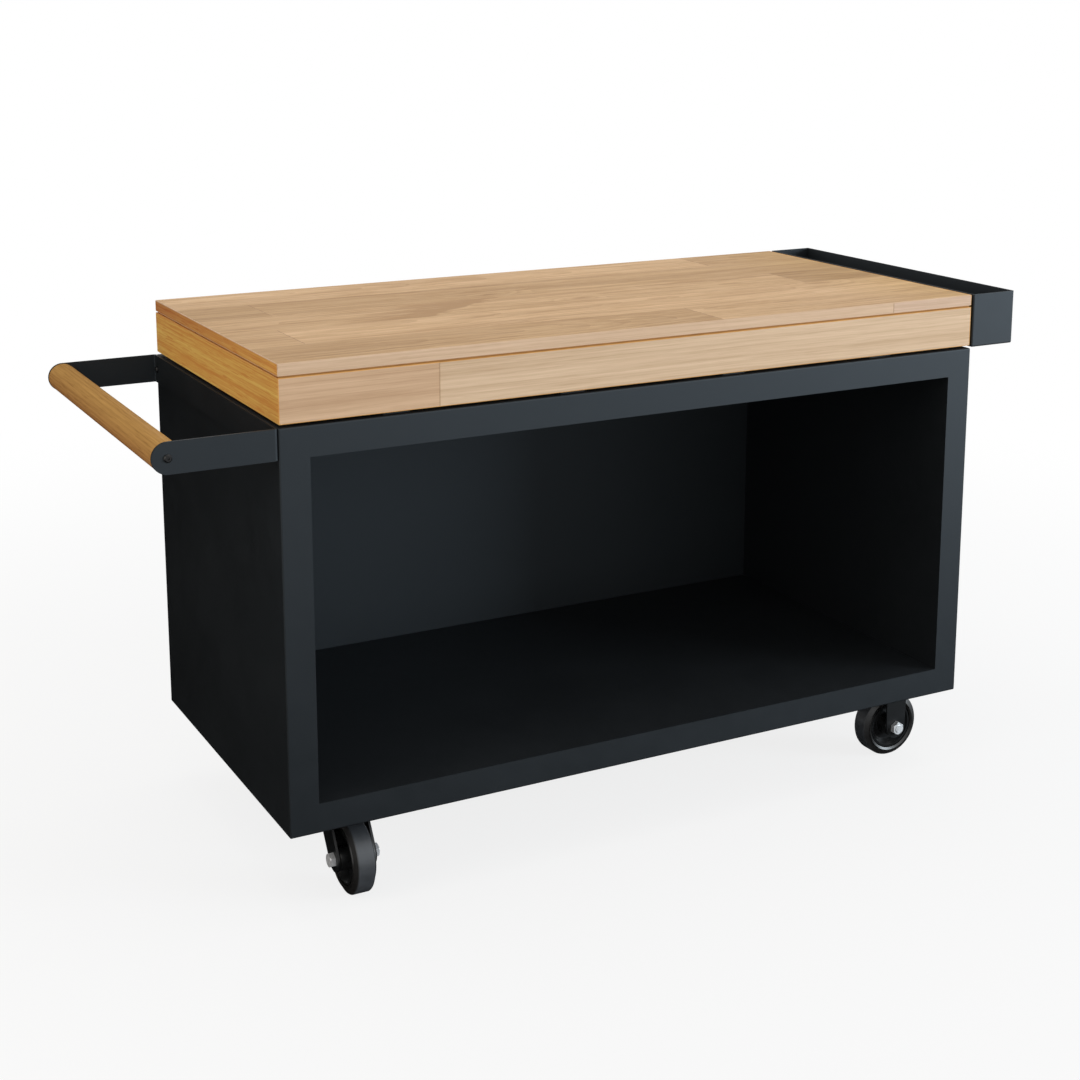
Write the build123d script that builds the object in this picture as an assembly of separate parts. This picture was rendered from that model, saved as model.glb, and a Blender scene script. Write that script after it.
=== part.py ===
from build123d import *
import os
from math import acos, atan2, copysign, cos, hypot, pi, sin

os.makedirs("parts", exist_ok=True)

# A rolling outdoor prep table, in millimetres. +Z is up, the open front faces -Y, the handle is at -X and
# the trough at +X. The origin is on the floor, under the middle of the whole table.

# Cabinet: double-walled sheet steel
carcass_length = 1350.0
carcass_depth = 650.0
carcass_height = 670.0
wall = 50.0  # from the outer skin to the storage bay
skin = 2.0  # outer sheet
liner_sheet = 1.5  # inner sheet
frame_return = 25.0  # depth of the folded returns of the face frame and the back tray
side_return = 20.0  # folded returns along the top and bottom of a side panel
fold_radius = 2.5  # outside radius of every folded edge

# Stiffening channels between the base and the bay floor
channel_width = 120.0
channel_sheet = 4.0

# Worktop: a board on a mitred apron, with a shadow groove between them
shadow_gap = 5.0  # between steel and wood
wood_inset = 1.5
apron_height = 72.5
apron_thickness = 40.0
groove_height = 2.5
groove_depth = 4.0
board_thickness = 20.0
wood_easing = 1.2  # radius of the sanded edges
bearer_count = 4
bearer_width = 45.0
spacer_setback = 12.0
wood_screw_radius = 3.0
wood_screw_head_radius = 6.5
wood_screw_head_height = 3.5
wood_screw_bite = 40.0  # length in the wood
wood_screw_inset = 120.0  # from the front and the back of the cabinet

# Push handle
handle_height = 50.0
handle_bar = 4.0
handle_bend = 2.0  # inside radius of the bends
grip_reach = 172.0  # from the cabinet's side to the middle of the grip
grip_radius = 24.5
grip_easing = 1.0
screw_radius = 3.0
screw_head_radius = 6.5
screw_head_height = 3.6
socket_flats = 4.0  # hexagon sockets in the button heads
socket_depth = 2.0
head_bevel = 2.0
grip_screw_bite = 45.0
bracket_screw_inset = 16.0  # from the ends of the bracket
bracket_screw_reach = 14.0  # length inside the cabinet
rivet_nut_radius = 5.0
rivet_nut_length = 11.0

# Trough
planter_gap = 5.0  # between wood and trough
planter_width = 97.0
planter_height = 99.0
planter_sheet = 2.0
planter_fold = 3.0
drain_count = 5
drain_radius = 4.0
drain_inset = 80.0
planter_bolt_count = 3
planter_bolt_inset = 110.0
planter_bolt_bite = 28.0
planter_spacer_radius = 8.0

# Casters
wheel_radius = 62.5
tyre_width = 38.0
tread_flat = 29.0
tread_easing = 1.2
shoulder_drop = 10.5  # how far the shoulder falls from the tread to the bead
bead_width = 5.2  # the raised ring round the tyre's side, which slopes towards the axle
bead_height = 1.8
bead_bevel = 0.9
rim_radius = 46.5  # where the tyre sits
rim_width = 37.0
rim_lip = 3.5  # the flat ring round the dish
groove_width = 1.5  # between the rim's lip and the tyre
groove_depth = 3.5
dish_drop = 8.5  # how far the dish narrows from the lip to the web
web_thickness = 10.0
hub_radius = 21.0
hub_bevel = 1.5
hub_play = 1.5  # between the hub's end and a fork leg
bush_radius = 10.0
bush_play = 0.3
axle_radius = 7.0
axle_fit = 0.05  # running clearance on the radius
nut_flats = 22.0
nut_height = 9.0
nut_chamfer = 1.6
axle_tail = 2.0  # thread past the nut
fork_gap = 61.0  # between the legs
fork_sheet = 4.0
fork_bend = 3.0
crown_length = 76.0
crown_skirt = 12.0  # height of the crown's folded sides before the legs narrow
crown_corner = 2.5
leg_front = 21.0  # where a leg's edges would meet the crown's top, from the kingpin
leg_back = 33.0
leg_end_radius = 21.5
wheel_headroom = 8.7  # from the wheel to the fork's crown
swivel_offset = 42.0  # from the kingpin to the axle
race_height = 7.0
race_radius = 33.0
race_bore = 20.0
race_chamfer = 2.3
race_play = 0.3
kingpin_radius = 8.0
kingpin_head_radius = 14.0
kingpin_head_height = 5.0
kingpin_chamfer = 1.5
plate_thickness = 5.0
plate_length = 100.0
plate_width = 85.0
plate_corner = 8.0
plate_bolt_length = 80.0  # hole spacing along X
plate_bolt_width = 60.0  # hole spacing along Y
caster_bolt_radius = 4.0
caster_bolt_flats = 13.0
caster_bolt_head = 5.3
caster_bolt_tail = 5.0
bracket_leg_top = 47.0
swivel_inset_x = 132.0  # from the cabinet's left side to the kingpin
swivel_inset_y = 110.0  # from the cabinet's front or back to the kingpin
fixed_inset_x = 82.0  # from the cabinet's right side to the axle
fixed_inset_y = 104.0  # from the cabinet's front or back to the wheel

hole_clearance = 0.2  # on the radius of every bolt hole

# Hole radii
screw_hole = screw_radius + hole_clearance
wood_screw_hole = wood_screw_radius + hole_clearance
caster_bolt_hole = caster_bolt_radius + hole_clearance
axle_bore = axle_radius + axle_fit
kingpin_bore = kingpin_radius + axle_fit

# Heights, from the floor up
axle_z = wheel_radius
crown_bottom = 2 * wheel_radius + wheel_headroom
crown_top = crown_bottom + fork_sheet
race_bottom = crown_top + race_play
plate_bottom = race_bottom + race_height
base_z = plate_bottom + plate_thickness
bay_bottom = base_z + wall
deck_z = base_z + carcass_height
bay_top = deck_z - wall
apron_bottom = deck_z + shadow_gap
apron_top = apron_bottom + apron_height
board_bottom = apron_top + groove_height
board_top = board_bottom + board_thickness

# Faces across the table. The handle, cabinet and trough together are centred on X = 0
handle_reach = grip_reach + handle_height / 2
planter_reach = planter_gap + planter_width - wood_inset
left = (handle_reach - planter_reach - carcass_length) / 2
right = left + carcass_length
front = -carcass_depth / 2
back = carcass_depth / 2
bay_left = left + wall
bay_right = right - wall
wood_left = left + wood_inset
wood_right = right - wood_inset
wood_front = front + wood_inset
wood_back = back - wood_inset
handle_z = deck_z - handle_height / 2


def block(x0, x1, y0, y1, z0, z1):
    """A box given by its six faces."""
    centre = Pos((x0 + x1) / 2, (y0 + y1) / 2, (z0 + z1) / 2)
    return centre * Box(x1 - x0, y1 - y0, z1 - z0)


def carcass_block(inset, y0, y1):
    """A block with the cabinet's front outline, drawn in by an inset on all four sides."""
    return block(left + inset, right - inset, y0, y1, base_z + inset, deck_z - inset)


def wood_block(inset, z0, z1):
    """A block with the worktop's outline, drawn in by an inset on all four sides."""
    return block(wood_left + inset, wood_right - inset, wood_front + inset, wood_back - inset, z0, z1)


def cross_bar(x, setback, z0, z1):
    """A bar under the worktop from front to back, set back from the wood's faces."""
    half = bearer_width / 2
    return block(x - half, x + half, wood_front + setback, wood_back - setback, z0, z1)


def rod(start, direction, radius, length):
    """A cylinder from a point, along a direction."""
    return extrude(Plane(start, z_dir=direction) * Circle(radius), length)


def hexagon(start, direction, flats, height):
    """A hexagonal prism from a point, along a direction."""
    return extrude(Plane(start, z_dir=direction) * RegularPolygon(flats / 2, 6, major_radius=False), height)


def socket_head(start, direction):
    """A low bevelled screw head that stands on a face, with a hexagon socket."""
    head = rod(start, direction, screw_head_radius, screw_head_height)
    head = chamfer(far_rim(head, start, direction), head_bevel)
    socket_floor = Vector(*start) + Vector(*direction) * (screw_head_height - socket_depth)
    return head - hexagon(socket_floor, direction, socket_flats, socket_depth)


def far_rim(cylinder, start, direction):
    """The round edge at a cylinder's far end."""
    return cylinder.edges().filter_by(GeomType.CIRCLE).sort_by(Axis(start, direction))[-1]


def nut_body(start, direction):
    """A hexagon with the corners of its outer end turned off."""
    corner_radius = nut_flats / (2 * cos(pi / 6))
    turned = rod(start, direction, corner_radius, nut_height)
    turned = chamfer(far_rim(turned, start, direction), nut_chamfer)
    return hexagon(start, direction, nut_flats, nut_height) & turned


def spread(low, high, count):
    """Evenly spaced places from low to high, both included."""
    return [low + (high - low) * i / (count - 1) for i in range(count)]


def save(name, *solids):
    """Writes one node: one solid, or a group of like solids."""
    shape = solids[0] if len(solids) == 1 else Compound(children=list(solids))
    export_step(shape, f"parts/{name}.step")


def mitre(ring, low, high, width, plane_axis):
    """Cuts a rectangular ring into four members along its corners' diagonals.

    low and high are the ring's outer corners in the cutting plane, width is the members' width and
    plane_axis is the axis that the ring lies square to. Returns bottom, top, left and right.
    """
    (u0, v0), (u1, v1) = low, high
    inner = (u0 + width, v0 + width, u1 - width, v1 - width)
    wedges = [
        [(u0, v0), (u1, v0), (inner[2], inner[1]), (inner[0], inner[1])],
        [(u0, v1), (inner[0], inner[3]), (inner[2], inner[3]), (u1, v1)],
        [(u0, v0), (inner[0], inner[1]), (inner[0], inner[3]), (u0, v1)],
        [(u1, v0), (u1, v1), (inner[2], inner[3]), (inner[2], inner[1])],
    ]
    plane = Plane.XZ if plane_axis == Axis.Y else Plane.XY
    reach = carcass_length + carcass_depth + deck_z
    members = []
    for corners in wedges:
        wedge = extrude(plane * Polygon(*corners, align=None), reach, both=True)
        members.append((ring & wedge).solid())
    return members


def face_frame():
    """The mitred frame round the storage bay: a channel folded back at its outer and inner edges."""
    rear = front + frame_return
    ring = carcass_block(0, front, rear)
    outer_edges = ring.edges().filter_by(Axis.Y) + ring.faces().sort_by(Axis.Y)[0].edges()
    ring = fillet(outer_edges, fold_radius)
    ring -= carcass_block(skin, front + skin, rear) - carcass_block(wall - skin, front, rear)
    ring -= carcass_block(wall, front, rear)
    ring -= bracket_screw_holes()
    names = ["frame_bottom_rail", "frame_top_rail", "frame_left_stile", "frame_right_stile"]
    for name, member in zip(names, mitre(ring, (left, base_z), (right, deck_z), wall, Axis.Y)):
        save(name, member)


def side_panels():
    """Outer side skins, folded in along the top and the bottom."""
    y0 = front + frame_return
    y1 = back - frame_return
    for name, outer, inward in (("left_side_panel", left, 1), ("right_side_panel", right, -1)):
        inner = outer + inward * side_return
        panel = block(min(outer, inner), max(outer, inner), y0, y1, base_z, deck_z)
        outside = panel.faces().sort_by(Axis.X)[0 if inward > 0 else -1]
        panel = fillet(outside.edges().filter_by(Axis.Y), fold_radius)
        hollow = sorted((outer + inward * skin, inner))
        panel -= block(*hollow, y0, y1, base_z + skin, deck_z - skin)
        save(name, panel - bracket_screw_holes())


def back_tray():
    """Rear skin folded forward on all four sides. Its face is also the back of the bay."""
    tray = carcass_block(0, back - frame_return, back)
    outer_edges = tray.edges().filter_by(Axis.Y) + tray.faces().sort_by(Axis.Y)[-1].edges()
    tray = fillet(outer_edges, fold_radius)
    tray -= carcass_block(skin, back - frame_return, back - skin)
    save("back_panel", tray - bracket_screw_holes())


def base_and_deck():
    """Bottom and top skins between the side panels' returns, drilled for casters and worktop screws."""
    span = (left + side_return, right - side_return, front + frame_return, back - frame_return)
    base = block(*span, base_z, base_z + skin)
    for x, y in caster_bolt_places():
        base -= rod((x, y, base_z), (0, 0, 1), caster_bolt_hole, skin)
    save("base_panel", base)
    deck = block(*span, deck_z - skin, deck_z)
    for x, y in worktop_screw_places():
        deck -= rod((x, y, deck_z - skin), (0, 0, 1), wood_screw_hole, skin)
    save("top_deck", deck)


def bay_liner():
    """Inner skins of the storage bay, flush with the face frame's opening."""
    y0 = front + frame_return
    y1 = back - skin
    z0 = bay_bottom - liner_sheet
    z1 = bay_top + liner_sheet
    save("liner_floor", block(bay_left, bay_right, y0, y1, z0, bay_bottom))
    save("liner_ceiling", block(bay_left, bay_right, y0, y1, bay_top, z1))
    save("liner_left_wall", block(bay_left - liner_sheet, bay_left, y0, y1, z0, z1))
    save("liner_right_wall", block(bay_right, bay_right + liner_sheet, y0, y1, z0, z1))


def caster_channels():
    """Upright channels on the base that carry the bay floor and are tapped for the caster bolts."""
    z0 = base_z + skin
    z1 = bay_bottom - liner_sheet
    for name, x in (("left_caster_channel", swivel_x()), ("right_caster_channel", fixed_x())):
        half = channel_width / 2
        y0 = front + frame_return
        y1 = back - frame_return
        channel = block(x - half, x + half, y0, y1, z0, z1)
        channel -= block(x - half + channel_sheet, x + half - channel_sheet, y0, y1, z0 + channel_sheet, z1)
        for bolt_x, bolt_y in caster_bolt_places():
            channel -= rod((bolt_x, bolt_y, z0), (0, 0, 1), caster_bolt_hole, channel_sheet)
        save(name, channel)


def bearer_places():
    """Middles of the bearers along X, evenly spread between the end aprons."""
    inner_left = wood_left + apron_thickness
    pitch = (wood_right - apron_thickness - inner_left) / bearer_count
    return [inner_left + pitch * (i + 0.5) for i in range(bearer_count)]


def worktop_screw_places():
    """Two screws up into every bearer."""
    rows = (front + wood_screw_inset, back - wood_screw_inset)
    return [(x, y) for x in bearer_places() for y in rows]


def worktop():
    """Hardwood top: board, groove layer, mitred apron, bearers, the spacers under them and their screws."""
    save("top_board", fillet(wood_block(0, board_bottom, board_top).edges(), wood_easing))
    save("groove_layer", wood_block(groove_depth, apron_top, board_bottom))

    ring = fillet(wood_block(0, apron_bottom, apron_top).edges(), wood_easing)
    ring -= wood_block(apron_thickness, apron_bottom, apron_top)
    members = mitre(ring, (wood_left, wood_front), (wood_right, wood_back), apron_thickness, Axis.Z)
    names = ["front_apron", "back_apron", "left_apron", "right_apron"]
    for name, member in zip(names, members):
        if name == "right_apron":
            for y in planter_bolt_places():
                member -= rod((wood_right, y, planter_bolt_z()), (-1, 0, 0), screw_hole, planter_bolt_bite)
        save(name, member)

    bearers, spacers, screws = [], [], []
    depth = shadow_gap + wood_screw_bite
    holes = [rod((x, y, deck_z), (0, 0, 1), wood_screw_hole, depth) for x, y in worktop_screw_places()]
    for x in bearer_places():
        bearer = cross_bar(x, apron_thickness, apron_bottom, apron_top) - holes
        spacer = cross_bar(x, spacer_setback, deck_z, apron_bottom) - holes
        bearers.append(bearer.solid())
        spacers.append(spacer.solid())
    for x, y in worktop_screw_places():
        seat = (x, y, deck_z - skin)
        screw = rod(seat, (0, 0, 1), wood_screw_radius, skin + depth)
        screws.append(screw + rod(seat, (0, 0, -1), wood_screw_head_radius, wood_screw_head_height))
    save("top_bearers", *bearers)
    save("top_spacers", *spacers)
    save("worktop_screws", *screws)


def bracket_screw_places():
    """Screws near both ends of the strip that lies on the cabinet's side."""
    return [front + bracket_screw_inset, back - bracket_screw_inset]


def bracket_screw_holes():
    """Holes through the cabinet's left skin, in whichever panel they fall."""
    return [rod((left, y, handle_z), (1, 0, 0), screw_hole, skin) for y in bracket_screw_places()]


def push_handle():
    """Flat bar bent to a U, screwed to the cabinet's side, with a turned grip between its round ends."""
    tip = left - handle_reach
    grip_x = left - grip_reach
    z0 = deck_z - handle_height
    plan = block(tip, left, front, back, z0, deck_z)
    bends = plan.faces().sort_by(Axis.X)[-1].edges().filter_by(Axis.Z)
    plan = fillet(bends, handle_bend + handle_bar)
    inside = block(tip, left - handle_bar, front + handle_bar, back - handle_bar, z0, deck_z)
    bends = inside.faces().sort_by(Axis.X)[-1].edges().filter_by(Axis.Z)
    bracket = plan - fillet(bends, handle_bend)
    round_end = rod((grip_x, front, handle_z), (0, 1, 0), handle_height / 2, carcass_depth)
    bracket &= block(grip_x, left, front, back, z0, deck_z) + round_end
    for y in (front, back - handle_bar):
        bracket -= rod((grip_x, y, handle_z), (0, 1, 0), screw_hole, handle_bar)
    for y in bracket_screw_places():
        bracket -= rod((left - handle_bar, y, handle_z), (1, 0, 0), screw_hole, handle_bar)
    save("handle_bracket", bracket)

    grip = rod((grip_x, front + handle_bar, handle_z), (0, 1, 0), grip_radius, carcass_depth - 2 * handle_bar)
    grip = fillet(grip.edges().filter_by(GeomType.CIRCLE), grip_easing)
    screws = []
    for y, inward in ((front, 1), (back, -1)):
        seat = (grip_x, y, handle_z)
        screw = rod(seat, (0, inward, 0), screw_radius, handle_bar + grip_screw_bite)
        grip -= rod(seat, (0, inward, 0), screw_hole, handle_bar + grip_screw_bite)
        screws.append(screw + socket_head(seat, (0, -inward, 0)))
    save("handle_grip", grip)
    save("grip_screws", *screws)

    screws, nuts = [], []
    for y in bracket_screw_places():
        seat = (left - handle_bar, y, handle_z)
        screw = rod(seat, (1, 0, 0), screw_radius, handle_bar + skin + bracket_screw_reach)
        screws.append(screw + socket_head(seat, (-1, 0, 0)))
        inside_face = (left + skin, y, handle_z)
        nut = rod(inside_face, (1, 0, 0), rivet_nut_radius, rivet_nut_length)
        nuts.append(nut - rod(inside_face, (1, 0, 0), screw_hole, rivet_nut_length))
    save("bracket_screws", *screws)
    save("rivet_nuts", *nuts)


def planter_bolt_places():
    """Bolts along the trough's wall, into the end of the worktop."""
    return spread(wood_front + planter_bolt_inset, wood_back - planter_bolt_inset, planter_bolt_count)


def planter_bolt_z():
    """Height of the trough's bolts: the middle of the apron."""
    return (apron_bottom + apron_top) / 2


def planter():
    """Open-top folded trough with drain holes, held off the worktop's end by spacers."""
    x0 = wood_right + planter_gap
    x1 = x0 + planter_width
    z0 = board_top - planter_height
    trough = block(x0, x1, wood_front, wood_back, z0, board_top)
    lower = trough.edges().filter_by(Axis.Z) + trough.faces().sort_by(Axis.Z)[0].edges()
    trough = fillet(lower, planter_fold)
    inside = block(
        x0 + planter_sheet,
        x1 - planter_sheet,
        wood_front + planter_sheet,
        wood_back - planter_sheet,
        z0 + planter_sheet,
        board_top,
    )
    trough -= inside
    for y in spread(wood_front + drain_inset, wood_back - drain_inset, drain_count):
        trough -= rod(((x0 + x1) / 2, y, z0), (0, 0, 1), drain_radius, planter_sheet)
    bolts, spacers = [], []
    for y in planter_bolt_places():
        seat = (x0 + planter_sheet, y, planter_bolt_z())
        length = planter_sheet + planter_gap + planter_bolt_bite
        hole = rod(seat, (-1, 0, 0), screw_hole, length)
        trough -= hole
        spacers.append(rod((x0, y, planter_bolt_z()), (-1, 0, 0), planter_spacer_radius, planter_gap) - hole)
        bolt = rod(seat, (-1, 0, 0), screw_radius, length)
        bolts.append(bolt + socket_head(seat, (1, 0, 0)))
    save("planter_trough", trough)
    save("planter_spacers", *spacers)
    save("planter_bolts", *bolts)


def swivel_x():
    return left + swivel_inset_x


def fixed_x():
    return right - fixed_inset_x


def caster_places():
    """Name, plate middle and kind of every caster."""
    return [
        ("front_left", swivel_x(), front + swivel_inset_y, "swivel"),
        ("rear_left", swivel_x(), back - swivel_inset_y, "swivel"),
        ("front_right", fixed_x(), front + fixed_inset_y, "fixed"),
        ("rear_right", fixed_x(), back - fixed_inset_y, "fixed"),
    ]


def caster_bolt_places():
    """Four bolts at the corners of every caster's plate."""
    return [
        (x + side * plate_bolt_length / 2, y + row * plate_bolt_width / 2)
        for name, x, y, kind in caster_places()
        for side in (-1, 1)
        for row in (-1, 1)
    ]


def caster_plate(x, y):
    """Mounting plate under the base, with rounded corners and its four bolt holes."""
    outline = Pos(x, y, plate_bottom) * RectangleRounded(plate_length, plate_width, plate_corner)
    plate = extrude(outline, plate_thickness)
    for bolt_x, bolt_y in caster_bolt_places():
        plate -= rod((bolt_x, bolt_y, plate_bottom), (0, 0, 1), caster_bolt_hole, plate_thickness)
    return plate


def leg_outline(low, high, top, axle):
    """Side view of a leg: a straight top edge drawn down by two tangents to a round end about the axle.

    low and high are the ends of the top edge, top is its height and axle the round end's place along the
    same direction.
    """
    points = []
    for edge, turn in ((low, -1), (high, 1)):
        across = edge - axle
        up = top - axle_z
        angle = atan2(up, across) - turn * acos(leg_end_radius / hypot(across, up))
        points.append((axle + leg_end_radius * cos(angle), axle_z + leg_end_radius * sin(angle)))
    outline = Polygon((low, top), points[0], points[1], (high, top), align=None)
    return outline + Pos(axle, axle_z) * Circle(leg_end_radius)


def mirrored_profile(half):
    """A section to turn on a lathe whose two sides are alike.

    half lists one side's corners, from the bore outwards, as radius and distance from the wheel's middle.
    """
    near_side = [(radius, -height) for radius, height in half]
    return Polygon(*near_side, *reversed(half), align=None)


def wheel(name, centre, direction):
    """Bevelled rubber tyre with a raised bead, dished wheel centre and the bush that turns on the axle."""
    place = Plane(centre, z_dir=direction)
    groove_floor = rim_width / 2 - groove_depth
    bead_outside = wheel_radius - shoulder_drop
    bead_inside = bead_outside - bead_width
    side = tyre_width / 2
    tyre = mirrored_profile([
        (rim_radius, groove_floor),
        (bead_inside, side),
        (bead_outside - bead_bevel, side + bead_height),
        (bead_outside, side),
        (wheel_radius, tread_flat / 2),
    ])
    tyre = chamfer(tyre.vertices().sort_by(Axis.X)[-2:], tread_easing)
    save(f"{name}_tyre", place * revolve(Plane.XZ * tyre, Axis.Z))

    lip_outside = rim_radius - groove_width
    lip_inside = lip_outside - rim_lip
    hub_half = fork_gap / 2 - hub_play
    section = mirrored_profile([
        (bush_radius, hub_half),
        (hub_radius - hub_bevel, hub_half),
        (hub_radius, hub_half - hub_bevel),
        (hub_radius, web_thickness / 2),
        (lip_inside - dish_drop, web_thickness / 2),
        (lip_inside, rim_width / 2),
        (lip_outside, rim_width / 2),
        (lip_outside, groove_floor),
        (rim_radius, groove_floor),
    ])
    save(f"{name}_wheel_centre", place * revolve(Plane.XZ * section, Axis.Z))

    bush_half = fork_gap / 2 - bush_play
    start = Vector(*centre) - Vector(*direction) * bush_half
    bush = rod(start, direction, bush_radius, 2 * bush_half)
    save(f"{name}_bush", bush - rod(start, direction, axle_bore, 2 * bush_half))


def axle(centre, direction):
    """Hexagon bolt through both legs and the bush, and its nut on the other side."""
    along = Vector(*direction)
    half = fork_gap / 2 + fork_sheet
    start = Vector(*centre) - along * half
    length = 2 * half + nut_height + axle_tail
    bolt = rod(start, direction, axle_radius, length) + nut_body(start, -along)
    seat = Vector(*centre) + along * half
    return bolt, nut_body(seat, direction) - rod(seat, direction, axle_bore, nut_height)


def axle_hole(centre, direction):
    """The hole through both legs for the axle bolt."""
    half = fork_gap / 2 + fork_sheet
    start = Vector(*centre) - Vector(*direction) * half
    return rod(start, direction, axle_bore, 2 * half)


def swivel_fork(x, y):
    """Pressed fork: a crown folded down into two narrow legs that slant forward to the axle."""
    axle_y = y - swivel_offset
    half = fork_gap / 2 + fork_sheet
    low = min(axle_y - leg_end_radius, y - crown_length / 2)
    high = y + crown_length / 2
    bottom = axle_z - leg_end_radius
    outer = block(x - half, x + half, low, high, bottom, crown_top)
    outer = fillet(outer.faces().sort_by(Axis.Z)[-1].edges().filter_by(Axis.Y), fork_bend + fork_sheet)
    inner = block(x - fork_gap / 2, x + fork_gap / 2, low, high, bottom, crown_bottom)
    inner = fillet(inner.faces().sort_by(Axis.Z)[-1].edges().filter_by(Axis.Y), fork_bend)

    skirt_end = crown_top - crown_skirt
    outline = Pos(y, crown_top - crown_skirt / 2) * Rectangle(crown_length, crown_skirt)
    outline += leg_outline(y - leg_front, y + leg_back, crown_top, axle_y)
    side = extrude(Plane.YZ.offset(x - half) * outline, 2 * half)
    corners = side.edges().filter_by(Axis.X).filter_by_position(Axis.Z, skirt_end, skirt_end)
    fork = (outer - inner) & fillet(corners, crown_corner)
    fork -= rod((x, y, crown_bottom), (0, 0, 1), kingpin_bore, fork_sheet)
    return fork - axle_hole((x, axle_y, axle_z), (1, 0, 0))


def swivel_caster(name, x, y):
    """Plate, ball race and riveted kingpin, with the fork and its wheel hung under them."""
    plate = caster_plate(x, y)
    top = plate_bottom + plate_thickness
    plate -= rod((x, y, plate_bottom), (0, 0, 1), kingpin_bore, plate_thickness)
    save(f"{name}_plate", plate)

    race = rod((x, y, race_bottom), (0, 0, 1), race_radius, race_height)
    race = chamfer(far_rim(race, (x, y, race_bottom), (0, 0, -1)), race_chamfer)
    save(f"{name}_ball_race", race - rod((x, y, race_bottom), (0, 0, 1), race_bore, race_height))

    head_top = crown_bottom - race_play
    kingpin = rod((x, y, head_top), (0, 0, 1), kingpin_radius, top - head_top)
    head = rod((x, y, head_top), (0, 0, -1), kingpin_head_radius, kingpin_head_height)
    head = chamfer(far_rim(head, (x, y, head_top), (0, 0, -1)), kingpin_chamfer)
    save(f"{name}_kingpin", kingpin + head)

    centre = (x, y - swivel_offset, axle_z)
    save(f"{name}_fork", swivel_fork(x, y))
    save(f"{name}_axle", *axle(centre, (1, 0, 0)))
    wheel(name, centre, (1, 0, 0))


def fixed_bracket(x, y):
    """Plate with two upright legs either side of the wheel."""
    bracket = caster_plate(x, y)
    outline = leg_outline(x - bracket_leg_top / 2, x + bracket_leg_top / 2, plate_bottom, x)
    for leg_y in (y - fork_gap / 2 - fork_sheet, y + fork_gap / 2):
        bracket += extrude(Plane.XZ.offset(-leg_y) * outline, -fork_sheet)
    return bracket - axle_hole((x, y, axle_z), (0, 1, 0))


def casters():
    """Two swivel casters at the handle end, two fixed ones at the trough end, and all their plate bolts.

    The fixed casters' axle nuts are on the outer side of the table.
    """
    fixed_axles = []
    for name, x, y, kind in caster_places():
        if kind == "swivel":
            swivel_caster(name, x, y)
        else:
            centre = (x, y, axle_z)
            save(f"{name}_bracket", fixed_bracket(x, y))
            outward = (0, copysign(1, y), 0)
            fixed_axles += axle(centre, outward)
            wheel(name, centre, outward)
    save("fixed_axles", *fixed_axles)

    bolts = []
    length = plate_thickness + skin + channel_sheet + caster_bolt_tail
    for x, y in caster_bolt_places():
        seat = (x, y, plate_bottom)
        bolt = rod(seat, (0, 0, 1), caster_bolt_radius, length)
        bolts.append(bolt + hexagon(seat, (0, 0, -1), caster_bolt_flats, caster_bolt_head))
    save("caster_bolts", *bolts)


face_frame()
side_panels()
back_tray()
base_and_deck()
bay_liner()
caster_channels()
worktop()
push_handle()
planter()
casters()
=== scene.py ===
from math import radians

import bpy
import numpy as np
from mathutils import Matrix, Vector


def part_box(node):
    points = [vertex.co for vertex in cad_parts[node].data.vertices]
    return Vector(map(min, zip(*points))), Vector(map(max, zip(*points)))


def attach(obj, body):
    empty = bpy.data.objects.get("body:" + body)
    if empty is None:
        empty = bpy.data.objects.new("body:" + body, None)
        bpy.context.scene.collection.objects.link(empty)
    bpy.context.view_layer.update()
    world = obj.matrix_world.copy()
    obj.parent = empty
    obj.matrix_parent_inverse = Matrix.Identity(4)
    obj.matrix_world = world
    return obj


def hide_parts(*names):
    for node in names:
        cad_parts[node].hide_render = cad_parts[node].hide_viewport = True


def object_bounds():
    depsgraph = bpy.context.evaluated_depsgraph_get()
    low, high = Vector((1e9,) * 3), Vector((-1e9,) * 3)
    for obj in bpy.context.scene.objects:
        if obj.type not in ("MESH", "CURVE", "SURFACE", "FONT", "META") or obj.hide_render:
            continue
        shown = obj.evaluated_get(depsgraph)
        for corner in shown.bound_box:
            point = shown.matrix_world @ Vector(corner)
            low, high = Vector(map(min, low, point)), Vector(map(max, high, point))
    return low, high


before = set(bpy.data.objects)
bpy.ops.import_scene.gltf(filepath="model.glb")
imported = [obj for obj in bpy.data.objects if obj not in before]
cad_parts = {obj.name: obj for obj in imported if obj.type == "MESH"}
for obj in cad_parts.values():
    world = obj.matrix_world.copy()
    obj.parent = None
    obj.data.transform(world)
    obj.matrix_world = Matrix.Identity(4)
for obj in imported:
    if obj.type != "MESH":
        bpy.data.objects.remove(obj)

cad_low, cad_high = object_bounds()
bpy.context.scene.view_settings.view_transform = "Standard"


# Cabinet: a double-walled box of folded and welded sheet steel, open at the front.
# Its welds are ground flush and the whole box is powder coated at once, in black with a bluish gloss, a fine
# orange peel and faint clouds in tone and gloss where the coat lies thicker.
def add_node(material, kind, inputs=(), **options):
    """One shader node. Options are its own settings; inputs fills its sockets with values or links."""
    node = material.node_tree.nodes.new("ShaderNode" + kind)
    for name, value in options.items():
        setattr(node, name, value)
    for socket, value in dict(inputs).items():
        if isinstance(value, bpy.types.NodeSocket):
            material.node_tree.links.new(value, node.inputs[socket])
        else:
            node.inputs[socket].default_value = value
    return node


def new_finish(name):
    """A node material, its Principled shader, and the Object coordinates that its patterns read."""
    material = bpy.data.materials.new(name)
    material.use_nodes = True
    surface = material.node_tree.nodes["Principled BSDF"]
    place = add_node(material, "TexCoord").outputs["Object"]
    return material, surface, place


def number_math(material, operation, *values):
    """The result of one sum on numbers."""
    return add_node(material, "Math", enumerate(values), operation=operation).outputs[0]


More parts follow.
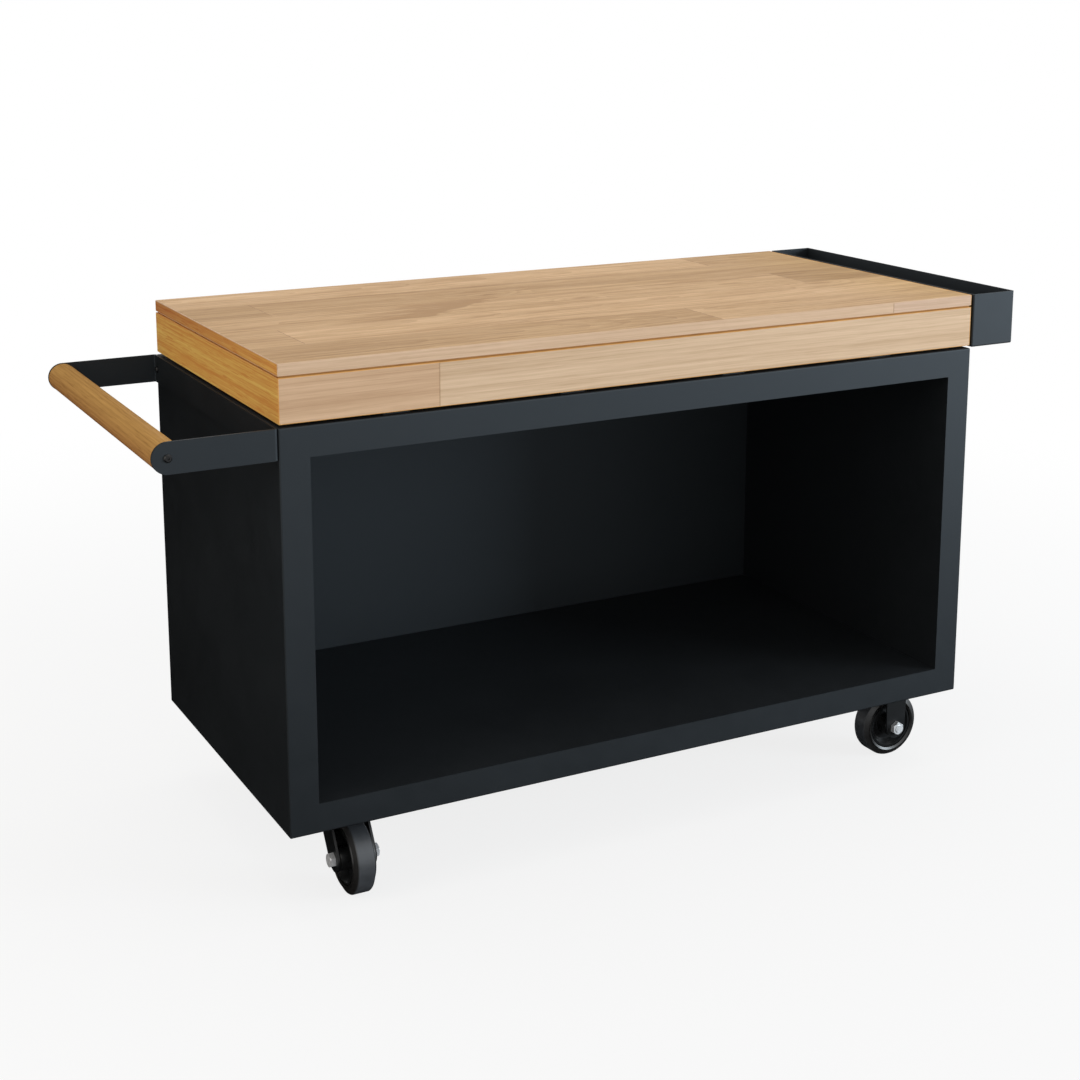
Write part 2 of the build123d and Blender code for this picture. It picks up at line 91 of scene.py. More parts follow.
def vector_math(material, operation, *values):
    """The result of one sum on vectors: a vector, or a number for a length or a distance."""
    node = add_node(material, "VectorMath", enumerate(values), operation=operation)
    return node.outputs["Value" if operation in ("LENGTH", "DISTANCE") else "Vector"]


def scaled(material, place, scale, shift=(0, 0, 0)):
    """A place multiplied by a scale along each axis, after a shift."""
    return vector_math(material, "MULTIPLY", vector_math(material, "ADD", place, shift), scale)


def noise(material, place, scale, detail=2.0, roughness=0.5, shift=(0, 0, 0)):
    """Cloudy noise, about 0.25 to 0.75, whose grains are 1 / scale metres long on each axis."""
    inputs = {"Vector": scaled(material, place, scale, shift), "Scale": 1.0, "Detail": detail}
    return add_node(material, "TexNoise", {**inputs, "Roughness": roughness}).outputs["Fac"]


def spread_to(material, value, low, high, start=0.3, end=0.7):
    """A value carried from the range start to end over to the range low to high."""
    inputs = {"Value": value, "From Min": start, "From Max": end, "To Min": low, "To Max": high}
    return add_node(material, "MapRange", inputs).outputs["Result"]


def mixed(material, share, first, second, blend="MIX"):
    """Two colours mixed by a share."""
    inputs = {0: share, 6: first, 7: second}
    return add_node(material, "Mix", inputs, data_type="RGBA", blend_type=blend).outputs[2]


def join(material, output, surface, socket):
    """Links an output to one of a shader's sockets."""
    material.node_tree.links.new(output, surface.inputs[socket])


def bumped(material, surface, height, depth):
    """Gives a surface a relief of that depth in metres."""
    bump = add_node(material, "Bump", {"Height": height, "Distance": depth, "Strength": 1.0})
    join(material, bump.outputs["Normal"], surface, "Normal")


def toned(colour, share):
    """A colour made lighter or darker, ready for a socket."""
    return (*(share * channel for channel in colour), 1)


def powder_coat(name, colour, dullness, gloss, gloss_tint=(1, 1, 1)):
    """Fine-textured powder coat: clouds 17 cm and 3 cm wide in tone and dullness, over a peel of 1 mm."""
    material, surface, place = new_finish(name)
    broad = noise(material, place, (6, 6, 6), detail=1)
    small = noise(material, place, (34, 34, 34), detail=3)
    clouds = spread_to(material, number_math(material, "ADD", broad, small), 0, 1, 0.7, 1.3)
    join(material, mixed(material, clouds, toned(colour, 0.85), toned(colour, 1.15)), surface, "Base Color")
    join(material, spread_to(material, clouds, dullness - 0.02, dullness + 0.02, 0, 1), surface, "Roughness")
    surface.inputs["Specular IOR Level"].default_value = gloss
    surface.inputs["Specular Tint"].default_value = (*gloss_tint, 1)
    bumped(material, surface, noise(material, place, (950, 950, 950), detail=1), depth=0.00006)
    return material


def dress(names, material):
    """Gives CAD nodes one material on all their faces."""
    for name in names:
        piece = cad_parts[name]
        piece.data.materials.clear()
        piece.data.materials.append(material)


cabinet_panels = """
    frame_top_rail frame_bottom_rail frame_left_stile frame_right_stile left_side_panel right_side_panel
    back_panel base_panel top_deck left_caster_channel right_caster_channel
    liner_floor liner_ceiling liner_left_wall liner_right_wall
""".split()
cabinet_black = (0.0066, 0.0069, 0.0073)
bluish = (0.74, 0.88, 1.0)
cabinet_coat = powder_coat("cabinet_powder_coat", cabinet_black, dullness=0.56, gloss=0.51, gloss_tint=bluish)
dress(cabinet_panels, cabinet_coat)


# Casters: a swivel pair under the handle end and a fixed pair under the trough end, bolted to the base.
# Forks, brackets and plates are pressed steel with a satin black coat. Bolts and nuts are zinc plated,
# and the ball races, kingpins and bushes are plain ground steel.
def bare_metal(name, colour, dullness, metal=1.0):
    """Bare or plated metal with blotches 6 mm wide in its tone and dullness, and fine tool marks.

    A metal share under 1 leaves the rest to the milky film of passivated plating.
    """
    material, surface, place = new_finish(name)
    blotches = noise(material, place, (180, 180, 180), detail=3)
    join(material, mixed(material, blotches, toned(colour, 0.88), toned(colour, 1.0)), surface, "Base Color")
    join(material, spread_to(material, blotches, dullness - 0.07, dullness + 0.07), surface, "Roughness")
    surface.inputs["Metallic"].default_value = metal
    bumped(material, surface, noise(material, place, (1500, 1500, 1500), detail=1), depth=0.00002)
    return material


swivel_casters = ("front_left", "rear_left")
fixed_casters = ("front_right", "rear_right")
caster_black = (0.0095, 0.0105, 0.0115)
zinc_white = (0.93, 0.94, 0.96)
steel_grey = (0.46, 0.46, 0.47)
caster_coat = powder_coat("caster_coat", caster_black, dullness=0.38, gloss=0.5)
bright_zinc = bare_metal("bright_zinc", zinc_white, dullness=0.48, metal=0.6)
bearing_steel = bare_metal("bearing_steel", steel_grey, dullness=0.35)
dress(["caster_bolts", "fixed_axles"], bright_zinc)
dress([f"{caster}_bracket" for caster in fixed_casters], caster_coat)
for caster in swivel_casters:
    dress([f"{caster}_plate", f"{caster}_fork"], caster_coat)
    dress([f"{caster}_axle"], bright_zinc)
    dress([f"{caster}_ball_race", f"{caster}_kingpin"], bearing_steel)


# Wheels: a black rubber tyre moulded round a dished nylon centre, which turns on a steel bush.
# The tread has a painted lighter grey for its sheen, the sloping shoulders keep the mould's dull skin, and
# the bead round each side is smooth and shines.
def tyre_rubber(name, middle, wheel_plane):
    """Rubber whose finish goes by the distance from the axle: bead, then shoulder, then tread with a painted
    sheen.
    """
    material, surface, place = new_finish(name)
    spoke = vector_math(material, "MULTIPLY", vector_math(material, "SUBTRACT", place, middle), wheel_plane)
    from_axle = vector_math(material, "LENGTH", spoke)
    on_tread = spread_to(material, from_axle, 0, 1, tread_start, tread_start + tread_fade)
    off_bead = spread_to(material, from_axle, 0, 1, bead_end - bead_fade, bead_end)
    bloom = noise(material, place, (70, 70, 70), detail=4, roughness=0.6)
    skin = mixed(material, bloom, toned(shoulder_tone, 0.75), toned(shoulder_tone, 1.25))
    # The tread's lighter grey is a painted sheen
    painted_tread_sheen = mixed(material, bloom, toned(tread_sheen_tone, 0.75), toned(tread_sheen_tone, 1.3))
    join(material, mixed(material, on_tread, skin, painted_tread_sheen), surface, "Base Color")
    dullness = spread_to(material, off_bead, bead_dullness, rubber_dullness, 0, 1)
    dullness = number_math(material, "ADD", dullness, spread_to(material, bloom, -0.04, 0.06))
    join(material, dullness, surface, "Roughness")
    surface.inputs["Specular IOR Level"].default_value = rubber_gloss
    bumped(material, surface, noise(material, place, (900, 900, 900), detail=1), depth=0.00005)
    return material


def moulded_nylon(name, colour, dullness):
    """Moulded nylon: a soft bloom in its tone and dullness, and a fine mould grain."""
    material, surface, place = new_finish(name)
    bloom = noise(material, place, (60, 60, 60), detail=3)
    join(material, mixed(material, bloom, toned(colour, 0.8), toned(colour, 1.25)), surface, "Base Color")
    join(material, spread_to(material, bloom, dullness - 0.05, dullness + 0.07), surface, "Roughness")
    bumped(material, surface, noise(material, place, (1400, 1400, 1400), detail=1), depth=0.00004)
    return material


# Distances from the axle: where the bead ends and the tread starts, and over how much they fade
bead_end, bead_fade = 0.0520, 0.0008
tread_start, tread_fade = 0.0612, 0.0006
shoulder_tone = (0.0100, 0.0092, 0.0088)
# The tread is lighter than the shoulder: a painted sheen
tread_sheen_tone = (0.044, 0.048, 0.054)
bead_dullness, rubber_dullness, rubber_gloss = 0.34, 0.46, 0.7
nylon_black = (0.010, 0.0105, 0.011)
wheel_nylon = moulded_nylon("wheel_nylon", nylon_black, dullness=0.30)
for caster in (*swivel_casters, *fixed_casters):
    tyre_low, tyre_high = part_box(f"{caster}_tyre")
    rolling_plane = (0, 1, 1) if caster in swivel_casters else (1, 0, 1)
    rubber = tyre_rubber(f"{caster}_rubber", (tyre_low + tyre_high) / 2, rolling_plane)
    dress([f"{caster}_tyre"], rubber)
    dress([f"{caster}_wheel_centre"], wheel_nylon)
    dress([f"{caster}_bush"], bearing_steel)


# Inner layer of the worktop: bearers and a thin board of plain wood, screwed up from the cabinet's deck.
# Only the thin board's edge shows, as the fine line of the groove. Black strips under the bearers keep the
# wood off the steel.
def total(material, patterns):
    """The sum of patterns, each times its own share."""
    result = 0.0
    for pattern, share in patterns:
        result = number_math(material, "MULTIPLY_ADD", pattern, share, result)
    return result


def swayed(material, fibre, scale, reach):
    """Fibre coordinates that waver across the grain: cloudy noise of a scale, times a reach in metres."""
    inputs = {"Vector": scaled(material, fibre, scale), "Scale": 1.0, "Detail": 1.0}
    waver = add_node(material, "TexNoise", inputs).outputs["Color"]
    waver = scaled(material, waver, (0, reach, reach), (-0.5, -0.5, -0.5))
    return vector_math(material, "ADD", fibre, waver)


even_grain = (1.20, 1.21, 1.23, 1), (0.73, 0.65, 0.56, 1)  # what the tone is multiplied by, light and dark
palest_sum, darkest_sum = 0.87, 1.59  # of the grain's patterns
ring_width = 0.0085
oil_gloss = 0.14


def oiled_hardwood(
    material, surface, fibre, tone, pore_share, contrast=1.0,
    sway=0.01, ripple=0.0015, marks=(), grain=even_grain,
):
    """Flat-sawn hardwood, from fibre coordinates: along the grain, across it, and away from the pith.

    The fibres sway slowly, then ripple, both by a reach in metres. Growth rings are the fractional part of
    the distance to the pith over a ring's width, darkest just before the next ring. Bands, streaks and pores
    are noise drawn out along the grain, and contrast is how far they lighten and darken the tone. A mark
    adds its bell to the distance, so that rings close round it, and its heart to the darkness.
    """
    fibre = swayed(material, fibre, (2.2, 5, 5), sway)
    fibre = swayed(material, fibre, (24, 26, 26), ripple)
    bands = noise(material, fibre, (1.3, 30, 30), detail=2)
    streaks = noise(material, fibre, (5, 150, 150), detail=4, roughness=0.62)
    fine = noise(material, fibre, (18, 560, 560), detail=3)
    pores = noise(material, fibre, (30, 430, 430), detail=1, shift=(3, 0, 0))
    pores = spread_to(material, pores, 0, 1, 0.58, 0.68)

    pith = vector_math(material, "LENGTH", vector_math(material, "MULTIPLY", fibre, (0, 1, 1)))
    for bell, heart in marks:
        pith = number_math(material, "ADD", pith, bell)
    rings = number_math(material, "FRACT", number_math(material, "MULTIPLY", pith, 1 / ring_width))
    late = number_math(material, "POWER", rings, 2.5)

    dark = total(material, ((bands, 0.95), (streaks, 1.0), (fine, 0.4), (late, 0.22), (pores, pore_share)))
    dark = spread_to(material, dark, 0.5 - contrast / 2, 0.5 + contrast / 2, palest_sum, darkest_sum)
    dark = total(material, [(dark, 1.0), *((heart, 1.0) for bell, heart in marks)])
    tint = mixed(material, dark, *grain)
    join(material, mixed(material, 1.0, tone, tint, "MULTIPLY"), surface, "Base Color")
    join(material, spread_to(material, streaks, 0.50, 0.64), surface, "Roughness")
    surface.inputs["Specular IOR Level"].default_value = oil_gloss
    bumped(material, surface, number_math(material, "SUBTRACT", fine, pores), depth=0.00006)


def board_fibre(material, place, across_ends, cut):
    """Fibre coordinates of a fine-grained board: along X, or along Y where it lies across an end.

    The place is turned, shifted by the board's own cut of the trunk, and scaled by the fineness.
    """
    turn = (0, 0, radians(90)) if across_ends else (0, 0, 0)
    turned = add_node(material, "Mapping", {"Vector": place, "Rotation": turn, "Location": cut}).outputs[0]
    return scaled(material, turned, (1 / board_fineness, board_fineness, board_fineness))


board_fineness = 1.5  # how much narrower and longer the grain is than on the worktop
inner_tone = (0.52, 0.27, 0.09, 1)
material, surface, place = new_finish("inner_hardwood")
inner_fibre = board_fibre(material, place, across_ends=False, cut=(17, 0.3, -0.8))
oiled_hardwood(material, surface, inner_fibre, inner_tone, pore_share=0.2)
dress(["groove_layer", "top_bearers"], material)
polymer_black = (0.006, 0.006, 0.006)
spacer_polymer = moulded_nylon("black_polymer", polymer_black, dullness=0.6)
dress(["top_spacers"], spacer_polymer)
dress(["worktop_screws"], bright_zinc)


# Apron: four boards on edge, mitred at the corners and glued under the worktop board.
# The front and the back one are two lengths butted together. The end ones get a separate ochre tone, painted
# for how light falls on the ends, and all four carry a painted orange highlight along their sanded edges.
def painted_highlight_band(material, place, low, high, face_axis):
    """1 along the outer edges of a board, where the painted edge highlight goes, and 0 elsewhere on its face.

    The least distance to the sides of the board's box, apart from those along face_axis, is compared with
    the band's reach.
    """
    aside = tuple(1.0 if axis == face_axis else 0.0 for axis in "xyz")
    inward = vector_math(material, "SUBTRACT", place, low)
    onward = vector_math(material, "SUBTRACT", high, place)
    nearest = vector_math(material, "ADD", vector_math(material, "MINIMUM", inward, onward), aside)
    x, y, z = add_node(material, "SeparateXYZ", {0: nearest}).outputs
    least = number_math(material, "MINIMUM", number_math(material, "MINIMUM", x, y), z)
    return spread_to(material, least, 1, 0, 0.6 * edge_reach, edge_reach)


def butted(material, place, fibre, butt, tone, butt_tone):
    """Fibre coordinates and tone of two lengths butted together: the cut and the tone change at that X."""
    x = add_node(material, "SeparateXYZ", {0: place}).outputs["X"]
    beyond = number_math(material, "GREATER_THAN", x, butt)
    jump = add_node(material, "VectorMath", {0: next_cut, 3: beyond}, operation="SCALE").outputs[0]
    colour = mixed(material, beyond, (*tone, 1), (*butt_tone, 1))
    glue = number_math(material, "COMPARE", x, butt, glue_reach)
    colour = mixed(material, number_math(material, "MULTIPLY", glue, butt_glue_share), colour, glue_tone)
    return vector_math(material, "ADD", fibre, jump), colour


def long_apron(node, tone, cut, butt, butt_tone):
    """Dresses the front or the back apron in pale wood."""
    material, surface, place = new_finish(f"{node}_hardwood")
    fibre = board_fibre(material, place, across_ends=False, cut=cut)
    fibre, colour = butted(material, place, fibre, butt, tone, butt_tone)
    # Painted orange highlight along the board's edges
    painted_edge_highlight = painted_highlight_band(material, place, *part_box(node), "y")
    colour = mixed(material, painted_edge_highlight, colour, (*painted_edge_highlight_tone, 1))
    oiled_hardwood(material, surface, fibre, colour, pore_share=0.12, contrast=0.65)
    dress([node], material)


def end_apron(node, cut):
    """Dresses the left or the right apron in ochre wood, a separate tone painted for how light falls on the
    ends.
    """
    material, surface, place = new_finish(f"{node}_hardwood")
    fibre = board_fibre(material, place, across_ends=True, cut=cut)
    # Painted orange highlight along the board's edges
    painted_edge_highlight = painted_highlight_band(material, place, *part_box(node), "x")
    colour = mixed(material, painted_edge_highlight, (*apron_end_painted_tone, 1), (*painted_edge_highlight_tone, 1))
    oiled_hardwood(material, surface, fibre, colour, pore_share=0.45, contrast=1.5, grain=russet_grain)
    dress([node], material)


russet_grain = (1.07, 1.22, 1.27, 1), (0.86, 0.64, 0.52, 1)  # the dark fibres are redder
next_cut = (7.0, 0.02, 0.03)  # from one length's cut of the trunk to the next one's
# Width and tone of the painted orange highlight along the wood's edges
edge_reach = 0.0016
painted_edge_highlight_tone = (0.68, 0.36, 0.11)
glue_reach = 0.0011
glue_tone = (0.32, 0.18, 0.085, 1)
butt_glue_share = 0.5
pinkish_tone = (0.60, 0.405, 0.258)
pale_tone = (0.64, 0.466, 0.312)
# Ochre of the end aprons, painted for how light falls on the ends
apron_end_painted_tone = (0.67, 0.372, 0.085)
front_butt, back_butt = -0.357, 0.21
long_apron("front_apron", pinkish_tone, (0, 0.37, -0.83), front_butt, pale_tone)
long_apron("back_apron", pale_tone, (5, -0.28, -0.80), back_butt, pinkish_tone)
end_apron("left_apron", (9, 0.58, -0.84))
end_apron("right_apron", (13, -0.69, -0.82))


# Worktop board: five rows of hardwood staves, glued edge to edge and butted end to end, sanded and oiled.
# Each stave is a block of its own, with its own tone and its own cut of the trunk. The board's ends are
# painted orange brown and darker towards the back, a separate tone for how light falls on the ends.
def knot_mark(material, place, x, y, length, width, darkness):
    """A bell and a dark heart round a point of the worktop, drawn out along the grain.

    Both fall smoothly with the distance: the bell over the width, the heart over a share of it.
    """
    ratio = width / length
    flat = vector_math(material, "MULTIPLY", place, (ratio, 1, 0))
    away = vector_math(material, "DISTANCE", flat, (ratio * x, y, 0))
    bell = {"Value": away, "From Max": width, "To Min": bell_share * width, "To Max": 0.0}
    heart = {"Value": away, "From Max": heart_share * width, "To Min": darkness, "To Max": 0.0}
    return [
        add_node(material, "MapRange", inputs, interpolation_type="SMOOTHERSTEP").outputs["Result"]
        for inputs in (bell, heart)
    ]


def brown_flame(material, place):
    """Darker heartwood in one row that fades in along the grain and stops at a slanting, crisp edge."""
    clouds = noise(material, place, (14, 60, 14), detail=3)
    wobble = spread_to(material, clouds, -flame_wobble, flame_wobble)
    axes = add_node(material, "SeparateXYZ", {0: place}).outputs
    past_edge = number_math(material, "MULTIPLY_ADD", axes["Y"], -flame_slant, axes["X"])
    past_edge = number_math(material, "SUBTRACT", number_math(material, "ADD", past_edge, wobble), flame_end)
    shade = spread_to(material, past_edge, 0, flame_darkness, -flame_length, 0)
    shade = number_math(material, "MULTIPLY", shade, spread_to(material, past_edge, 1, 0, 0, flame_edge))
    row_middle, row_half = (flame_low + flame_high) / 2, (flame_high - flame_low) / 2
    in_row = number_math(material, "COMPARE", axes["Y"], row_middle, row_half)
    return number_math(material, "MULTIPLY", shade, in_row)


board_low, board_high = (np.array(corner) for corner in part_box("top_board"))
stave_tone = np.array((0.543, 0.355, 0.189))
# For each row, from the front: where its two staves butt, and how light the left and the right one are
stave_rows = [
    (0.177, 0.91, 1.08),
    (-0.532, 1.03, 1.13),
    (0.538, 1.03, 0.81),
    (-0.494, 0.845, 0.90),
    (0.490, 1.12, 0.94),
]
tone_spread = np.array((0.85, 1.0, 1.35))  # darker staves are browner
# Knots: place along and across the top, length, width, and how dark the heart is
top_knots = [
    (0.071, -0.016, 0.09, 0.035, 0.5),
    (0.553, -0.077, 0.10, 0.04, 0.5),
    (-0.070, 0.095, 0.12, 0.03, 0.45),
]
bell_share, heart_share = 0.6, 0.45  # of a knot's width
worktop_easing = 0.0014
joint_easing = 0.12  # of the worktop's own easing

row_edges = np.linspace(board_low[1], board_high[1], len(stave_rows) + 1)
flame_low, flame_high = row_edges[2:4]
flame_end, flame_length, flame_edge, flame_wobble = -0.165, 0.20, 0.012, 0.02
flame_slant, flame_darkness = 1.5, 0.75
spans, lightness = [], []
for (butt, left_light, right_light), y0, y1 in zip(stave_rows, row_edges[:-1], row_edges[1:]):
    spans += [(board_low[0], butt, y0, y1), (butt, board_high[0], y0, y1)]
    lightness += [left_light, right_light]
spans = np.array(spans)
tones = stave_tone * np.array(lightness)[:, None] ** tone_spread

# Corner k of a block takes its x, y and z from bits 0, 1 and 2 of k
bits = (np.arange(8)[:, None] >> np.arange(3)) & 1
corner_x = np.where(bits[:, 0] == 1, spans[:, 1:2], spans[:, 0:1])
corner_y = np.where(bits[:, 1] == 1, spans[:, 3:4], spans[:, 2:3])
corner_z = np.where(bits[:, 2] == 1, board_high[2], board_low[2]) + np.zeros_like(corner_x)
stave_corners = np.stack((corner_x, corner_y, corner_z), axis=2).reshape(-1, 3)
block_faces = np.array(((0, 2, 3, 1), (4, 5, 7, 6), (0, 1, 5, 4), (2, 6, 7, 3), (0, 4, 6, 2), (1, 3, 7, 5)))
stave_faces = (block_faces + 8 * np.arange(len(spans))[:, None, None]).reshape(-1, 4)

mesh = bpy.data.meshes.new("worktop_staves")
mesh.from_pydata(stave_corners.tolist(), [], stave_faces.tolist())
flat_finish, long_edge_finish, end_finish, eased_finish = range(4)
finishes = (flat_finish, flat_finish, long_edge_finish, long_edge_finish, end_finish, end_finish)
mesh.polygons.foreach_set("material_index", np.tile(finishes, len(spans)).astype(np.int32))


def corner_values(name, kind, field, values):
    """Puts one value for each stave's corner into an attribute of the mesh."""
    attribute = mesh.attributes.new(name, kind, "POINT")
    attribute.data.foreach_set(field, np.asarray(values, np.float32).ravel())


# Fibre coordinates: x along the grain; y and z from a pith of the stave's own, which leans along the length
golden_angle = 2.399
depth_rate = 1.7  # how much faster the pith's depth changes from stave to stave than its place aside
pith_aside, pith_below, pith_swing, pith_lean = 0.05, 0.05, 0.03, 0.05
trunk_length = 3.0
stave_number = np.arange(len(spans))
turn = golden_angle * stave_number
pith_y = spans[:, 2:4].mean(axis=1) + pith_aside * np.sin(turn)
pith_depth = pith_below + pith_swing * np.cos(depth_rate * turn)
lean = pith_lean * np.cos(turn)
fibre = stave_corners.reshape(len(spans), 8, 3).copy()
fibre[:, :, 2] = fibre[:, :, 2] - board_low[2] + pith_depth[:, None] + lean[:, None] * fibre[:, :, 0]
fibre[:, :, 1] -= pith_y[:, None]
fibre[:, :, 0] += trunk_length * stave_number[:, None]
corner_values("fibre", "FLOAT_VECTOR", "vector", fibre)
corner_values("tone", "FLOAT_COLOR", "color", np.repeat(np.insert(tones, 3, 1.0, axis=1), 8, axis=0))
# How far a point is from the stave's left end and from its right end
from_ends = np.stack((corner_x - spans[:, 0:1], spans[:, 1:2] - corner_x, 0 * corner_x), axis=2)
corner_values("from_ends", "FLOAT_VECTOR", "vector", from_ends)

# Edges on the worktop's own outline are eased, those at a glue joint only just broken
edge_ends = np.empty(2 * len(mesh.edges), np.int32)
mesh.edges.foreach_get("vertices", edge_ends)
edge_points = stave_corners[edge_ends.reshape(-1, 2)]
on_low = np.isclose(edge_points, board_low, atol=1e-6).all(axis=1)
on_high = np.isclose(edge_points, board_high, atol=1e-6).all(axis=1)
outline = (on_low | on_high).sum(axis=1) >= 2
weights = np.where(outline, 1.0, joint_easing).astype(np.float32)
mesh.attributes.new("bevel_weight_edge", "FLOAT", "EDGE").data.foreach_set("value", weights)

worktop_staves = bpy.data.objects.new("worktop_staves", mesh)
bpy.context.scene.collection.objects.link(worktop_staves)
easing = worktop_staves.modifiers.new("easing", "BEVEL")
easing.limit_method = "WEIGHT"
easing.width = worktop_easing
easing.segments = 3
easing.harden_normals = True
easing.material = eased_finish

material, surface, place = new_finish("worktop_hardwood")
along_fibre = add_node(material, "Attribute", attribute_name="fibre").outputs["Vector"]
tone = add_node(material, "Attribute", attribute_name="tone").outputs["Color"]
ends = add_node(material, "Attribute", attribute_name="from_ends").outputs["Vector"]
ends = add_node(material, "SeparateXYZ", {0: ends}).outputs
glue = number_math(material, "MINIMUM", ends["X"], ends["Y"])
glue = spread_to(material, glue, 1, 0, 0.5 * glue_reach, glue_reach)
tone = mixed(material, glue, tone, glue_tone)
# Towards the right end the top gets a painted warm cast of reflected light near the trough, and the right
# edge itself a painted orange highlight
warm_cast_reach, painted_warm_cast_tint = 0.20, (0.95, 0.92, 0.74, 1)
rim_start, rim_full = 0.005, 0.003  # from the right end
x = add_node(material, "SeparateXYZ", {0: place}).outputs["X"]
painted_warm_cast = spread_to(material, x, 0, 1, board_high[0] - warm_cast_reach, board_high[0])
tone = mixed(material, painted_warm_cast, tone, painted_warm_cast_tint, "MULTIPLY")
painted_rim_highlight = spread_to(material, x, 0, 1, board_high[0] - rim_start, board_high[0] - rim_full)
tone = mixed(material, painted_rim_highlight, tone, (*painted_edge_highlight_tone, 1))
marks = [knot_mark(material, place, *knot) for knot in top_knots]
marks.append((0.0, brown_flame(material, place)))
oiled_hardwood(material, surface, along_fibre, tone, pore_share=0.12, sway=0.035, ripple=0.005, marks=marks)
mesh.materials.append(material)

# A thin lipping covers the staves along the front and the back, in two lengths
lipping_butt = 0.541
lipping_tone, far_lipping_tone = (0.635, 0.45, 0.305), (0.61, 0.435, 0.315)
material, surface, place = new_finish("worktop_lipping_hardwood")
lipping_fibre = board_fibre(material, place, across_ends=False, cut=(25, 0.36, -0.88))
lipping_fibre, tone = butted(material, place, lipping_fibre, lipping_butt, lipping_tone, far_lipping_tone)
oiled_hardwood(material, surface, lipping_fibre, tone, pore_share=0.12, contrast=0.6)
mesh.materials.append(material)

# The board's ends are painted orange brown for how light falls on them, darker towards the back
board_end_painted_tone, board_end_painted_back_tone = (0.66, 0.32, 0.070, 1), (0.49, 0.205, 0.058, 1)
material, surface, place = new_finish("worktop_end_hardwood")
y = add_node(material, "SeparateXYZ", {0: place}).outputs["Y"]
tone = mixed(material, spread_to(material, y, 0, 1, board_low[1], board_high[1]), board_end_painted_tone, board_end_painted_back_tone)
end_fibre = board_fibre(material, place, across_ends=True, cut=(29, 0.58, -0.88))
oiled_hardwood(material, surface, end_fibre, tone, pore_share=0.4, contrast=1.5, grain=russet_grain)
mesh.materials.append(material)

# The eased edges carry the painted orange highlight along the right end only
material, surface, place = new_finish("worktop_eased_hardwood")
x = add_node(material, "SeparateXYZ", {0: place}).outputs["X"]
at_right = number_math(material, "GREATER_THAN", x, board_high[0] - 2 * worktop_easing)
tone = mixed(material, at_right, (*lipping_tone, 1), (*painted_edge_highlight_tone, 1))
eased_fibre = board_fibre(material, place, across_ends=False, cut=(33, 0.36, -0.88))
oiled_hardwood(material, surface, eased_fibre, tone, pore_share=0.12, contrast=0.6)
mesh.materials.append(material)
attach(worktop_staves, "cabinet")
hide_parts("top_board")


# Push handle: a flat steel bar bent to a U, coated like the cabinet and screwed to its left side.
# The grip between its arms is turned from darker hardwood, sanded and oiled, and held by a blackened screw
# through each arm.
oxide_black = (0.005, 0.005, 0.0055)
black_oxide = powder_coat("black_oxide", oxide_black, dullness=0.30, gloss=0.32)
dress(["handle_bracket"], cabinet_coat)
dress(["grip_screws", "bracket_screws"], black_oxide)
dress(["rivet_nuts"], bright_zinc)
# The grip is darker underneath: painted shade on its lower side
grip_tone, grip_painted_shade_tone = (0.455, 0.250, 0.070, 1), (0.30, 0.115, 0.028, 1)
grip_low, grip_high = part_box("handle_grip")
grip_middle = (grip_low + grip_high) / 2
darkest_z, palest_z = grip_low.z + 0.004, grip_middle.z + 0.018
material, surface, place = new_finish("grip_hardwood")
grip_cut = (21, 0.04 - grip_middle.x, -0.03 - grip_middle.z)
grip_fibre = board_fibre(material, place, across_ends=True, cut=grip_cut)
z = add_node(material, "SeparateXYZ", {0: place}).outputs["Z"]
# Painted shade, darkest at the bottom of the grip
painted_under_shade = spread_to(material, z, 1, 0, darkest_z, palest_z)
tone = mixed(material, painted_under_shade, grip_tone, grip_painted_shade_tone)
oiled_hardwood(material, surface, grip_fibre, tone, pore_share=0.3)
dress(["handle_grip"], material)


# Trough: folded sheet steel, welded at the corners and coated like the cabinet.
# Three blackened bolts hold it to the worktop's right end, over black spacers.
dress(["planter_trough"], cabinet_coat)
dress(["planter_bolts"], black_oxide)
dress(["planter_spacers"], spacer_polymer)


# Floor: a plain pale sheet, which the camera sees almost white, with the table's shadow on it.
# Far from the table it goes over into the white of the room.
def flat_sheet(name, corners):
    """A stage piece of one four-sided face."""
    sheet_mesh = bpy.data.meshes.new(name)
    sheet_mesh.from_pydata(corners, [], [(0, 1, 2, 3)])
    sheet = bpy.data.objects.new(name, sheet_mesh)
    bpy.context.scene.collection.objects.link(sheet)
    return sheet


def seen_as_background(material):
    """1 for rays that meet the white background: from the camera, and off or through glossy things."""
    paths = add_node(material, "LightPath").outputs
    seen = number_math(material, "MAXIMUM", paths["Is Camera Ray"], paths["Is Glossy Ray"])
    return number_math(material, "MAXIMUM", seen, paths["Is Transmission Ray"])


floor_half = 30.0
floor_corners = [(-floor_half, -floor_half, 0), (floor_half, -floor_half, 0)]
floor_corners += [(floor_half, floor_half, 0), (-floor_half, floor_half, 0)]
floor = flat_sheet("floor", floor_corners)
near_white, near_reach, far_reach = 0.82, 0.9, 3.2
floor_grey = (0.8, 0.8, 0.8, 1)
material, surface, place = new_finish("pale_floor")
away = vector_math(material, "LENGTH", place)
reach = {"Value": away, "From Min": near_reach, "From Max": far_reach, "To Min": near_white, "To Max": 1.0}
fade = add_node(material, "MapRange", reach, interpolation_type="SMOOTHSTEP").outputs["Result"]
white_share = number_math(material, "MULTIPLY", seen_as_background(material), fade)
surface.inputs["Base Color"].default_value = floor_grey
surface.inputs["Roughness"].default_value = 1.0
surface.inputs["Specular IOR Level"].default_value = 0.0
white = add_node(material, "Emission", {"Color": (1, 1, 1, 1), "Strength": 1.0})
shown = add_node(material, "MixShader", {0: white_share, 1: surface.outputs[0], 2: white.outputs[0]})
join(material, shown.outputs[0], material.node_tree.nodes["Material Output"], "Surface")
